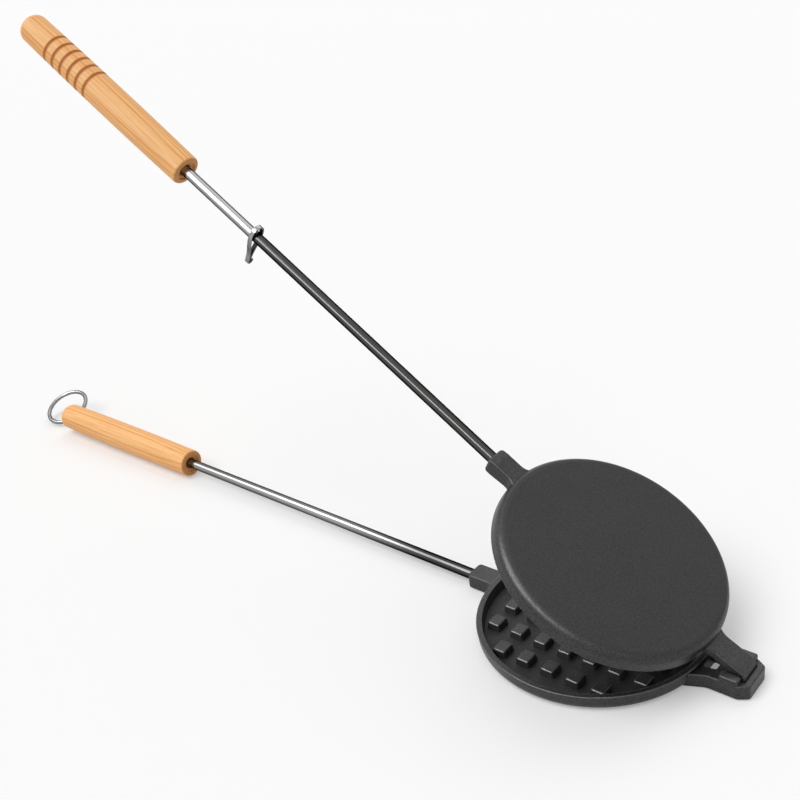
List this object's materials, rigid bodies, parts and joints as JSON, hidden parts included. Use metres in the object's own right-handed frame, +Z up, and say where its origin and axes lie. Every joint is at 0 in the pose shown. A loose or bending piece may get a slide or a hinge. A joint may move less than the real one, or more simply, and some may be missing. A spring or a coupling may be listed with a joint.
{
  "type": "pie iron",
  "caption": "Round cast waffle iron for a fire: hinged pans on long steel rods with turned wooden grips, a swinging strap catch and a hang-up ring.",
  "frame": {"origin": "centre of the flat base of the lower casting, on the ground", "axes": "+X from the grips to the hinge, along the rods; +Y across, to the left of that; +Z up"},
  "size_m": [0.8419, 0.1776, 0.4421],
  "materials": {
    "cast_iron": "seasoned, satin, rough cast",
    "rod_steel": "drawn bar, blackened toward the pans",
    "handle_wood": "turned, clear oiled, fine lengthwise grain",
    "catch_steel": "bent flat strap",
    "ring_steel": "bright round wire"
  },
  "bodies": {
    "lower_half": {"lower_casting": "cast_iron", "lower_rod": "rod_steel", "lower_handle": "handle_wood", "ring_eye": "ring_steel"},
    "upper_half": {"upper_casting": "cast_iron", "upper_rod": "rod_steel", "upper_handle": "handle_wood"},
    "catch_body": {"catch": "catch_steel"},
    "ring_body": {"hanging_ring": "ring_steel"}
  },
  "joints": [
    {"name": "lid_hinge", "type": "hinge", "parent": "lower_half", "child": "upper_half", "pos_m": [0.1139, 0, 0.0118], "axis": [0, 1, 0], "range_deg": [-28, 74]},
    {"name": "catch_turn", "type": "hinge", "parent": "upper_half", "child": "catch_body", "pos_m": [-0.29882, 0, 0.27181], "axis": [-0.8292, 0, 0.559], "continuous": true},
    {"name": "ring_swing", "type": "hinge", "parent": "lower_half", "child": "ring_body", "pos_m": [-0.67046, 0.009, 0.00844], "axis": [-0.3554, -0.8785, -0.3194], "range_deg": [-90, 60]}
  ]
}
